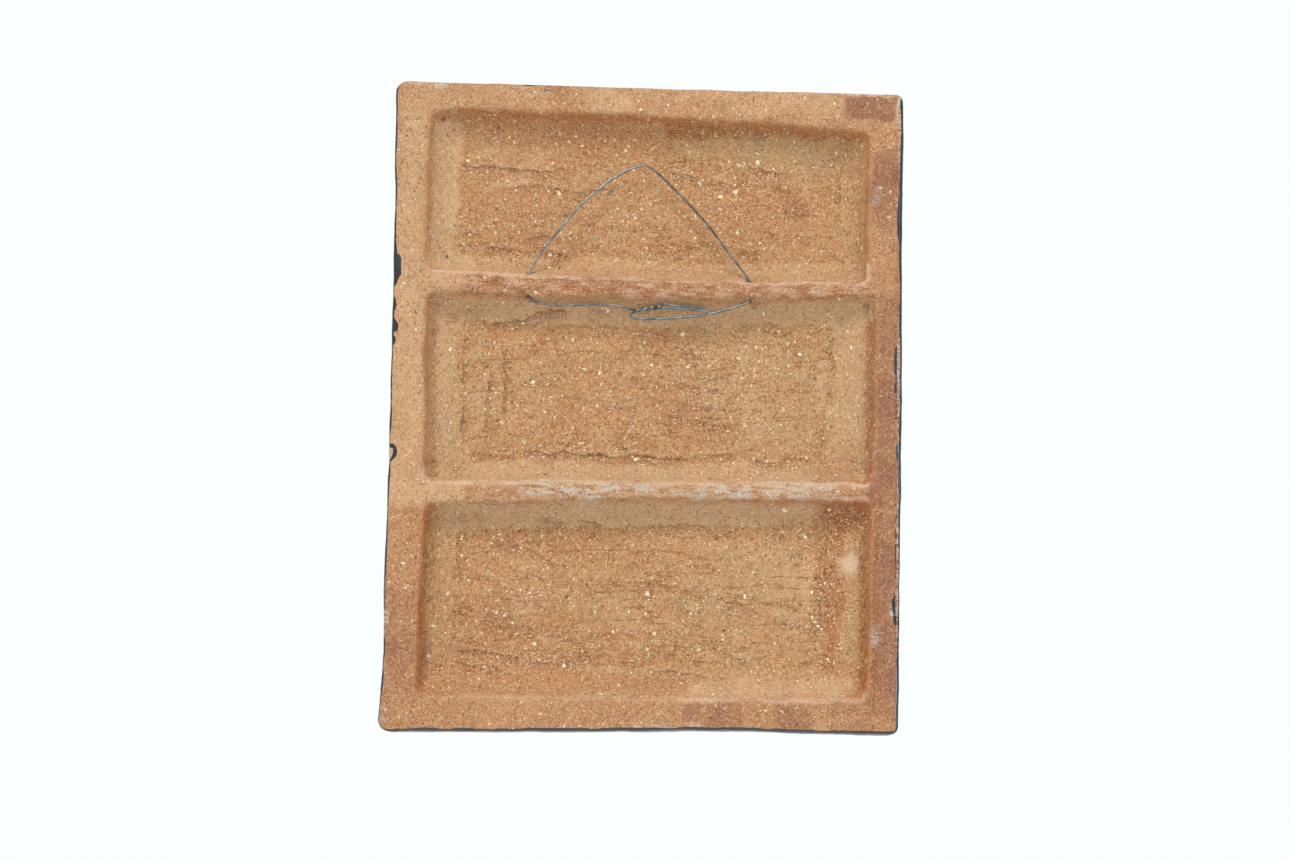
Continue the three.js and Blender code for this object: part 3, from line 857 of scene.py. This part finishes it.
def paintPlaque(piece):
    mesh = piece.data
    places = np.empty(3 * len(mesh.vertices), np.float32)
    mesh.vertices.foreach_get("co", places)
    x, y, z = (places.reshape(-1, 3).astype(float) / mm).T
    y = y - slab["backY"]
    onBack = y < slab["backEnds"]
    share = readRaster(backGuide["share"], x, z)
    setFloats(mesh, "level", (share + 0.5) / 2)
    setFloats(mesh, "tearFar", (readRaster(backGuide["tearFar"], x, z) / tearShape["span"] + 1) / 2)
    setFloats(mesh, "tear", readRaster(backGuide["tearHeight"], x, z) * onBack)
    setFloats(mesh, "crumbly", readRaster(backGuide["crumbly"], x, z) * onBack)
    # how much lower a place lies than the surface around it, near by and further off: painted shade for
    # creases and hollows, a fainter painted shade for recesses such as a wall's foot, and a lighter
    # colour where the clay stands higher
    near = readRaster(backField - blurred(backField, 1.5), x, z)
    far = readRaster(backField - blurred(backField, 4), x, z)
    setFloats(mesh, "hollowShade", smooth(0.12, 0.9, near) * onBack)
    setFloats(mesh, "shade", smooth(0.1, 1.6, far) * onBack)
    setFloats(mesh, "raisedPlaces", smooth(0.08, 0.7, -near) * onBack)

    ragged = share + 0.05 * cloud(x, z, 6, 160) + 0.04 * softNoise(x, z, 2, 165)
    crest = 1 - smooth(0.03, 0.13, ragged)
    floor = smooth(0.94, 1.04, ragged)
    wall = 1 - crest - floor
    drift = 5 * cloud(x, z, 26, 101), 5 * cloud(x, z, 26, 111)
    shake = 1.8 * cloud(x, z, 11, 103), 1.8 * cloud(x, z, 11, 113)
    for name in ("red", "mauve", "olive", "pale", "orange", "scuff"):
        value = (floor * spots(x + drift[0], z + drift[1], floorTints.get(name, ()))
                 + wall * blocks(x, z, shake, wallTints.get(name, ()))
                 + crest * blocks(x, z, shake, crestTints.get(name, ())))
        if name in ("red", "mauve", "olive"):
            value = value * (0.85 + 0.4 * cloud(x, z, 12, 120)) + 0.14 * cloud(x, z, 34, 130 + len(name))
        setFloats(mesh, name, value)

    uneven = 0.75 + 0.6 * cloud(x, z, 15, 170)
    # the pale lip line is a painted highlight
    for name, at, width in (("lip", 0.01, 0.06), ("seam", 0.08, 0.10)):
        line = np.exp(-((ragged - at) / width) ** 2) * blocks(x, z, shake, lipLines[name])
        setFloats(mesh, name, line * uneven * onBack)
    milky = np.zeros_like(x)
    for mx, mz, halfLong, halfWide, slant, strength in paleMarks:
        cos, sin = math.cos(math.radians(slant)), math.sin(math.radians(slant))
        offX, offZ = x - mx, z - mz
        far = np.hypot((offX * cos + offZ * sin) / halfLong, (offZ * cos - offX * sin) / halfWide)
        milky = np.maximum(milky, strength * smooth(1.12, 0.86, far + 0.05 * cloud(x, z, 3, 175)))
    setFloats(mesh, "milky", milky * onBack)
    setFloats(mesh, "rib", crest * blocks(x, z, shake, ribCrests) * onBack)
    setFloats(mesh, "glaze", np.where(onBack, glazeShare(x, y, z), 1))


paintPlaque(plaqueBody)
print("plaque painted")


# Materials

class Shade:
    # a value or colour that varies over a surface; arithmetic on it adds Math nodes
    def __init__(self, tree, socket=None):
        self.tree, self.socket = tree, socket

    def node(self, kind, inputs, output=0, **settings):
        made = self.tree.nodes.new(kind)
        for name, value in settings.items():
            setattr(made, name, value)
        for name, value in inputs.items():
            if isinstance(value, Shade):
                self.tree.links.new(value.socket, made.inputs[name])
            else:
                made.inputs[name].default_value = value
        return Shade(self.tree, made.outputs[output])

    def maths(self, operation, *values):
        return self.node("ShaderNodeMath", dict(enumerate(values)), operation=operation)

    def __add__(self, other):
        return self.maths("ADD", self, other)

    def __sub__(self, other):
        return self.maths("SUBTRACT", self, other)

    def __rsub__(self, other):
        return self.maths("SUBTRACT", other, self)

    def __mul__(self, other):
        return self.maths("MULTIPLY", self, other)

    def __pow__(self, other):
        return self.maths("POWER", self, other)

    __radd__, __rmul__ = __add__, __mul__

    def least(self, other):
        return self.maths("MINIMUM", self, other)

    def most(self, other):
        return self.maths("MAXIMUM", self, other)

    def ease(self, low, high):
        # 0 below low and 1 above high, with a soft step between
        return self.node("ShaderNodeMapRange", {"Value": self, "From Min": low, "From Max": high},
                         interpolation_type="SMOOTHSTEP")

    def attribute(self, name):
        return self.node("ShaderNodeAttribute", {}, "Fac", attribute_name=name)

    def noise(self, place, scale, detail, rough):
        return self.node("ShaderNodeTexNoise",
                         {"Vector": place, "Scale": scale, "Detail": detail, "Roughness": rough})

    def cells(self, place, scale, output="Distance"):
        return self.node("ShaderNodeTexVoronoi", {"Vector": place, "Scale": scale}, output)

    def mix(self, factor, first, second):
        return self.node("ShaderNodeMix", {0: factor, 6: first, 7: second}, 2, data_type="RGBA",
                         clamp_factor=True)

    def layered(self, look, *layers):
        # colours laid over this one, one after the other, each by its own amount
        tone = self
        for amount, name in layers:
            tone = self.mix(amount, tone, look[name])
        return tone

    def skin(self, tone, rough, bumps, look):
        # a solid's surface with fine bumps
        bump = self.node("ShaderNodeBump",
                         {"Strength": look["bumps"], "Distance": look["bumpHeight"], "Height": bumps})
        return self.node("ShaderNodeBsdfPrincipled",
                         {"Base Color": tone, "Roughness": rough, "Normal": bump, **look["more"]})

    def finish(self, surface, kind="ShaderNodeOutputMaterial"):
        self.tree.links.new(surface.socket, self.tree.nodes.new(kind).inputs["Surface"])


def colour(red, green, blue):
    # an sRGB colour, 0 to 255, as Blender's linear one
    def linear(value):
        value = value / 255
        return value / 12.92 if value < 0.04045 else ((value + 0.055) / 1.055) ** 2.4
    return (linear(red), linear(green), linear(blue), 1)


def newMaterial(name):
    made = bpy.data.materials.new(name)
    made.use_nodes = True
    made.node_tree.nodes.clear()
    return made, Shade(made.node_tree)


clayLook = {
    "base": colour(192, 143, 99),
    "light": colour(214, 168, 121),
    "dull": colour(178, 129, 86),
    "red": colour(178, 117, 79),
    "mauve": colour(146, 96, 78),
    "olive": colour(194, 165, 122),
    "pale": colour(218, 182, 142),
    "orange": colour(152, 86, 44),
    "crest": colour(196, 156, 128),
    "scuff": colour(204, 196, 182),
    # a painted highlight along the lips, and the colour of pale marks and of streaks on the ribs
    "lip": colour(222, 190, 164),
    "seam": colour(176, 98, 44),
    "fineDark": colour(122, 88, 52),
    # painted shade, for creases, recesses, grooves, dents and the hollows round grains
    "hollowShade": colour(124, 72, 38),
    # the painted shadow below torn skin, and the colour of hairlines and of streaks on the ribs
    "tear": colour(140, 80, 42),
    "rust": colour(184, 114, 68),
    "straw": colour(194, 166, 112),
    "amber": colour(208, 142, 74),
    "grog": colour(254, 234, 196),
    "tan": colour(228, 184, 136),
    # painted shade in tiny pits
    "pit": colour(80, 52, 36),
    # grains by size: scale per metre, share of the cells, how much more in loose clay, size in the cell
    "grains": ((1050.0, 0.26, 0.34, 0.56), (520.0, 0.17, 0.12, 0.5), (230.0, 0.09, 0.06, 0.38)),
    "pits": ((640.0, 0.045, 0.4), (230.0, 0.035, 0.26)),
    "stains": {"olive": 0.9, "red": 0.9, "mauve": 0.9, "orange": 0.85, "pale": 0.85},
    "bendScale": 620.0,
    "bend": 0.0042,        # how far the finer noises are pushed about, m
    "hairScale": (15, 40, 105),
    "hairWidth": (0.034, 0.007),
    "hairShift": 3.7,
    "streakScale": (90, 300, 520),
    "roughness": 0.92,
    "bumps": 0.9,
    "bumpHeight": 0.0014,
    "more": {"Specular IOR Level": 0.25},
}
# Noises that the clay is mixed from: scale per metre, detail, roughness. The second group is read from
# places that are pushed about.
evenNoises = {
    "broad": (22.0, 4.0, 0.6),
    "mottle": (110.0, 5.0, 0.66),
    "fine": (1150.0, 3.0, 0.6),
    "clumps": (55.0, 3.0, 0.6),
    "broken": (48.0, 2.0, 0.5),
}
bentNoises = {
    "grit": (760.0, 2.0, 0.7),
    "dents": (630.8, 2.0, 0.7),
    "patchy": (200.0, 3.0, 0.62),
    "warmer": (310.0, 2.0, 0.6),
    "sand": (980.0, 2.0, 0.8),
}
# How each tray's clay was dragged: lowest and highest z in mm, slant of the lines in degrees, strength
dragLines = ((-76, 60, -3, 0.5), (-196, -76, -9, 0.9), (-350, -196, -31, 1.0))
glazeLook = {
    "dark": colour(38, 38, 42),
    "blue": colour(52, 57, 64),
    "break": colour(98, 74, 58),
    "freckles": (520.0, 0.1, 0.4),
    "roughness": 0.3,
    "bumps": 0.35,
    "bumpHeight": 0.0006,
    "more": {"Coat Weight": 0.4, "Coat Roughness": 0.15},
}
steelLook = {
    "dark": colour(86, 99, 104),
    "bright": colour(142, 153, 156),
    "stain": colour(76, 66, 58),
    "bumps": 0.3,
    "bumpHeight": 0.0001,
    "more": {"Metallic": 0.9},
}


def speckles(shade, place, scale, share, size):
    # crushed grains in a share of the cells, each of its own size, the ring round each where the shade of
    # its hollow is painted, and its tint
    far = shade.cells(place, scale)
    pick = shade.cells(place, scale, "Color")
    chance, own, tint = (shade.node("ShaderNodeSeparateColor", {"Color": pick}, name)
                         for name in ("Red", "Green", "Blue"))
    chosen = (chance + share).ease(0.99, 1.01)
    gap = (own ** 2.5 * 0.68 + 0.32) * size - far
    return gap.ease(-0.03, 0.03) * chosen, gap.ease(-0.15, -0.02) * chosen, tint


def thinLines(shade, place, strength, slant, seed):
    # long wavering hairlines: where a stretched noise passes its middle value
    vector = shade.node("ShaderNodeMapping", {
        "Vector": place, "Rotation": (0, math.radians(slant), 0), "Scale": clayLook["hairScale"],
        "Location": (seed, 0, 0)})
    wave = shade.noise(vector, 1.0, 3.0, 0.55) - 0.5
    return shade.maths("ABSOLUTE", wave).ease(*clayLook["hairWidth"]) * strength


def glazeSkin(shade, place, bent, fine):
    pool = shade.noise(place, 60.0, 4.0, 0.6)
    tone = shade.mix(pool.ease(0.4, 0.68), glazeLook["dark"], glazeLook["blue"])
    freckle, _, _ = speckles(shade, bent, *glazeLook["freckles"])
    tone = tone.layered(glazeLook, (freckle * 0.5, "break"))
    bumps = shade.noise(place, 240.0, 3.0, 0.5) * 0.6 + fine * 0.12
    return shade.skin(tone, glazeLook["roughness"], bumps, glazeLook)


def clayMaterial():
    material, shade = newMaterial("groggedClay")
    place = shade.node("ShaderNodeTexCoord", {}, "Object")
    wobble = shade.node("ShaderNodeTexNoise",
                        {"Vector": place, "Scale": clayLook["bendScale"], "Detail": 3.0}, "Color")
    bent = shade.node("ShaderNodeVectorMath", {0: wobble, 1: (clayLook["bend"],) * 3, 2: place},
                      operation="MULTIPLY_ADD")
    mask = {name: shade.attribute(name) for name in
            ("red", "mauve", "olive", "pale", "orange", "scuff", "hollowShade", "shade", "raisedPlaces", "glaze",
             "level", "tear", "tearFar", "crumbly", "lip", "seam", "rib", "milky")}
    level = mask["level"] * 2 - 0.5
    tearFar = mask["tearFar"] * (2 * tearShape["span"]) - tearShape["span"]
    broad, mottle, fine, clumps, broken = (shade.noise(place, *values) for values in evenNoises.values())
    grit, dents, patchy, warmer, sand = (shade.noise(bent, *values) for values in bentNoises.values())

    crack = shade.maths("ABSOLUTE", tearFar).ease(5.5, 1.5) * mask["tear"]
    loose = (mask["crumbly"] * 0.9 + crack * 0.7 + clumps.ease(0.42, 0.66) * 0.5).least(1.0)
    loose = loose * (1 - mask["pale"] * 0.6)
    plenty = (1 - level.ease(0.15, -0.02) * 0.45) * (1 - mask["milky"]) * (1 - mask["mauve"] * 0.3)

    # the fired clay's own patches, then stains, then painted shade in recesses and creases, and a lighter
    # colour where the clay stands higher
    tone = shade.mix(broad.ease(0.36, 0.62), clayLook["dull"], clayLook["base"])
    tone = tone.layered(
        clayLook,
        (mottle.ease(0.46, 0.70) * 0.6, "light"),
        (mottle.ease(0.46, 0.30) * 0.3, "red"),
        (patchy.ease(0.53, 0.66) * 0.55, "rust"),
        (patchy.ease(0.47, 0.34) * 0.55, "straw"),
        (warmer.ease(0.55, 0.68) * 0.5, "amber"),
        (level.ease(0.12, -0.04) * 0.3, "crest"))
    uneven = 0.5 + mottle
    for name, strength in clayLook["stains"].items():
        tone = tone.layered(clayLook, ((mask[name] * uneven).least(1.0) * strength, name))
    frayed = level + (mottle - 0.5) * 0.25
    lip = frayed.ease(-0.02, 0.06) * frayed.ease(0.26, 0.10)
    burr = level.ease(-0.16, -0.06) * level.ease(0.03, -0.03)
    tone = tone.layered(
        clayLook,
        (mask["shade"] * 0.16, "hollowShade"),
        (lip * broad.ease(0.4, 0.56) * 0.35, "red"),
        (burr * mottle.ease(0.46, 0.62) * 0.25, "pale"),
        ((mask["hollowShade"] * uneven).least(1.0) * 0.6, "hollowShade"),
        (mask["raisedPlaces"] * 0.35, "light"))

    # torn skin: a painted highlight on its raised edge, a painted shadow below it and painted shade in
    # its groove; then drag lines
    tearFar = tearFar + (grit - 0.5) * 3.6 + (mottle - 0.5) * 2.4
    tornGrooveAndShade = shade.maths("ABSOLUTE", tearFar + 0.1).ease(0.8, 0.1) * mask["tear"] * grit.ease(0.4, 0.56)
    litRaisedSkin = tearFar.ease(0.2, 0.8) * tearFar.ease(2.8, 1.2) * mask["tear"]
    shadowBelowSkin = tearFar.ease(-8.0, -1.2) * tearFar.ease(0.6, -0.4) * mask["tear"]
    height = shade.node("ShaderNodeSeparateXYZ", {"Vector": place}, "Z") * 1000.0
    hair = 0
    for number, (low, high, slant, depth) in enumerate(dragLines):
        strength = height.ease(low - 1, low + 1) * height.ease(high + 1, high - 1) * depth
        hair = thinLines(shade, place, strength, slant, clayLook["hairShift"] * number) + hair
    hair = hair * level.ease(0.9, 1.05) * broken.ease(0.42, 0.54)
    tone = tone.layered(
        clayLook, (litRaisedSkin * 0.3, "light"), ((shadowBelowSkin * 0.8).least(0.6), "tear"), (tornGrooveAndShade * 0.6, "hollowShade"),
        (hair * 0.6, "tear"))

    # sand, grains and pits, with painted shade in small dents and in the ring round each grain
    calm = 1 - mask["mauve"] * 0.45
    tone = tone.layered(
        clayLook,
        (sand.ease(0.51, 0.61) * calm * 0.8, "light"),
        (sand.ease(0.48, 0.35) * 0.62, "fineDark"),
        ((grit + loose * 0.05).ease(0.57, 0.65) * calm * 0.8, "tan"),
        ((dents - loose * 0.05).ease(0.42, 0.34) * 0.64, "hollowShade"))
    grog = 0
    for scale, share, more, size in clayLook["grains"]:
        grain, ring, tint = speckles(shade, bent, scale, (share + loose * more) * plenty, size)
        stone = shade.mix(tint.ease(0.1, 0.6), clayLook["tan"], clayLook["grog"])
        tone = tone.layered(clayLook, (ring * (1 - grain) * 0.5, "hollowShade"))
        tone = shade.mix(grain * (1 - mask["mauve"] * 0.5), tone, stone)
        grog = grain + grog
    small, large = (speckles(shade, bent, *kind)[0] for kind in clayLook["pits"])
    pits = small.most(large)

    # lips with a painted highlight, ribs and scuffs
    streak = shade.node("ShaderNodeMapping", {"Vector": bent, "Scale": clayLook["streakScale"]})
    streaks = shade.noise(streak, 1.0, 4.0, 0.65)
    scuffed = mask["scuff"] * (streaks + (fine - 0.5) * 0.3).ease(0.47, 0.55)
    tone = tone.layered(
        clayLook,
        # painted shade in tiny pits
        (pits * 0.85, "pit"),
        ((mask["seam"] * (0.3 + mottle)).least(0.8), "seam"),
        ((mask["lip"] * (0.6 + grit)).least(0.85), "lip"),
        (mask["milky"] * 0.72, "lip"),
        (mask["rib"] * streaks.ease(0.5, 0.6) * 0.45, "lip"),
        (mask["rib"] * streaks.ease(0.49, 0.38) * 0.55, "tear"),
        (scuffed * 0.8, "scuff"))

    bumps = (fine * 0.4 + sand * 0.5 + grit * 0.45 + dents * 0.5 + grog * 0.35 - pits * 0.8 - tornGrooveAndShade * 0.5
             - hair * 0.25 + mottle * 0.3)
    clay = shade.skin(tone, clayLook["roughness"], bumps, clayLook)
    glaze = glazeSkin(shade, place, bent, fine)
    ragged = (mask["glaze"] + (shade.noise(place, 500.0, 3.0, 0.6) - 0.5) * 0.5).ease(0.4, 0.6)
    shade.finish(shade.node("ShaderNodeMixShader", {0: ragged, 1: clay, 2: glaze}))
    return material


def steelMaterial():
    material, shade = newMaterial("drawnSteelWire")
    place = shade.node("ShaderNodeTexCoord", {}, "Object")
    patch = shade.noise(place, 160.0, 4.0, 0.65)
    fine = shade.noise(place, 2400.0, 2.0, 0.5)
    tone = shade.mix(patch.ease(0.35, 0.68), steelLook["dark"], steelLook["bright"])
    tone = tone.layered(steelLook, (fine.ease(0.6, 0.75) * 0.35, "stain"))
    shade.finish(shade.skin(tone, patch * 0.2 + 0.26, fine, steelLook))
    return material


plaqueBody.data.materials.clear()
plaqueBody.data.materials.append(clayMaterial())
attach(plaqueBody, "root")
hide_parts("plaque")
print("clay and glaze made")


# The hanging wire

wirePlan = {
    "diameter": 1.25,
    # the end beside the eye, in to the twist
    "inner": ((38.6, -2.3, -86.7), (32, -2.1, -85.9), (25.5, -2, -85.4), (17, -2.1, -85.1)),
    # from the twist round the eye, up through the right hole, over the loop, down the left hole and back
    "loop": (
        (-5.9, -1, -88.3), (-6.7, -0.9, -89.4), (-5.6, -0.8, -90.8), (-1, -0.8, -91.4), (8, -0.8, -91.3),
        (20, -0.8, -90.5), (31.1, -0.8, -89.3), (40.4, -1, -87.7), (50, -1.6, -85.2), (57.5, -2.4, -82.8),
        (61.2, -2.7, -80.9), (62.5, -2.4, -78), (62.7, -2.2, -72), (62, -2.2, -67.3), (51, -1.6, -52.9),
        (39.6, -1.2, -37.5), (26.5, -0.8, -22.7), (15.8, -0.4, -12.1), (7.4, -0.1, -4), (3, 0, -1.1),
        (0, 0, 0), (-4.4, 0, -0.9), (-11.4, 0, -3.9), (-21.9, -0.2, -10.9), (-34, -0.5, -21.3),
        (-47.4, -1, -37.2), (-58.5, -1.6, -51.8), (-65.4, -2.2, -64.6), (-66.5, -2.2, -72),
        (-66.3, -2.4, -78), (-64.9, -2.8, -81.3), (-62, -2.8, -82.7), (-56.7, -2.2, -83.9),
        (-46.5, -1.6, -84.6), (-32.8, -1.4, -83.6), (-18.1, -1.7, -83.8), (-10.8, -2, -85),
    ),
    # the end that comes out of the twist
    "outer": (
        (13, -3, -82.5), (15.6, -2.9, -82.8), (20, -2.5, -83.6), (28, -2.2, -84), (36.6, -2.2, -85),
    ),
    "twistStart": (-4.6, -1.4, -87),
    "twistEnd": (11.8, -2.2, -84.3),
    "turns": 2.0,
    "pointsPerTurn": 10,
    "twistGap": 0.06,   # from the middle line to each strand's surface
    "sides": 14,
    "stepsPerPoint": 5,
    "merge": 0.02,
}


def twistPoints(plan, startTurn):
    # one of the two strands twisted round each other
    start, end = Vector(plan["twistStart"]), Vector(plan["twistEnd"])
    way = (end - start).normalized()
    front = Vector((0, 1, 0))
    above = -front.cross(way)
    radius = plan["diameter"] / 2 + plan["twistGap"]
    count = round(plan["turns"] * plan["pointsPerTurn"])
    points = []
    for k in range(count + 1):
        angle = 2 * math.pi * (startTurn + k / plan["pointsPerTurn"])
        points.append(start.lerp(end, k / count) + above * radius * math.cos(angle)
                      + front * radius * math.sin(angle))
    return points


def buildWire(plan):
    inner, loop, outer = ([Vector(point) for point in plan[name]] for name in ("inner", "loop", "outer"))
    points = inner + twistPoints(plan, 0.5)[::-1] + loop + twistPoints(plan, 0) + outer
    curve = bpy.data.curves.new("hangingWire", "CURVE")
    curve.dimensions = "3D"
    curve.bevel_depth = plan["diameter"] / 2 * mm
    curve.bevel_resolution = (plan["sides"] - 4) // 2
    curve.use_fill_caps = True
    curve.resolution_u = plan["stepsPerPoint"]
    spline = curve.splines.new("BEZIER")
    spline.bezier_points.add(len(points) - 1)
    for k, (knot, point) in enumerate(zip(spline.bezier_points, points)):
        before, after = points[max(k - 1, 0)], points[min(k + 1, len(points) - 1)]
        way = (after - before).normalized()
        knot.co = point * mm
        knot.handle_left = (point - way * (point - before).length / 3) * mm
        knot.handle_right = (point + way * (after - point).length / 3) * mm
    drawn = linked("hangingWireCurve", curve)
    mesh = bpy.data.meshes.new_from_object(drawn.evaluated_get(bpy.context.evaluated_depsgraph_get()))
    bpy.data.objects.remove(drawn)
    bpy.data.curves.remove(curve)
    mend(mesh, plan["merge"] * mm)
    for polygon in mesh.polygons:
        polygon.use_smooth = len(polygon.vertices) == 4
    return linked("hangingWire", mesh)


hangingWire = buildWire(wirePlan)
hangingWire.data.materials.append(steelMaterial())
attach(hangingWire, "root")
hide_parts("hanging_wire")
print("wire modelled:", len(hangingWire.data.polygons), "faces")


# Floor and light

studio = {
    "floor": -1250,         # mm, the plaque hangs well above it
    "reach": 6.0,           # half width of the floor, m
    "paper": (0.93, 0.94, 0.95, 1),
    "backdrop": (0.96, 0.995, 1, 1),
    "ambient": 0.43,
    "keyPower": 400.0,
    "keyPlace": (-1.9, -4.4, 5.0),
    "keySize": 2.2,
    "fillPower": 72.0,
    "fillPlace": (3.4, -4.4, -0.35),
    "fillSize": 1.6,
    "target": (0, 0, -0.14),
}


def makeStage(plan):
    bm = bmesh.new()
    bmesh.ops.create_grid(bm, x_segments=2, y_segments=2, size=plan["reach"])
    bmesh.ops.translate(bm, verts=bm.verts, vec=(0, 0, plan["floor"] * mm))
    made = linked("studioFloor", meshOf(bm, "studioFloor"))
    material, shade = newMaterial("palePaper")
    paper = shade.node("ShaderNodeBsdfPrincipled", {"Base Color": plan["paper"], "Roughness": 0.9})
    shade.finish(paper)
    made.data.materials.append(material)


def makeWorld(plan):
    # white behind everything, and a softer light from all round
    world = bpy.data.worlds.new("studio")
    world.use_nodes = True
    world.node_tree.nodes.clear()
    shade = Shade(world.node_tree)
    seen = shade.node("ShaderNodeBackground", {"Color": plan["backdrop"], "Strength": 1.0})
    lit = shade.node("ShaderNodeBackground", {"Color": (1, 1, 1, 1), "Strength": plan["ambient"]})
    direct = shade.node("ShaderNodeLightPath", {}, "Is Camera Ray")
    both = shade.node("ShaderNodeMixShader", {0: direct, 1: lit, 2: seen})
    shade.finish(both, "ShaderNodeOutputWorld")
    bpy.context.scene.world = world


def makeLight(plan, name):
    data = bpy.data.lights.new(name, "AREA")
    data.shape, data.size, data.energy = "SQUARE", plan[name + "Size"], plan[name + "Power"]
    made = linked(name, data)
    made.location = plan[name + "Place"]
    way = Vector(plan["target"]) - made.location
    made.rotation_euler = way.to_track_quat("-Z", "Y").to_euler()


makeStage(studio)
makeWorld(studio)
makeLight(studio, "key")
makeLight(studio, "fill")
bpy.context.scene.view_settings.view_transform = "Standard"
print("studio lit")
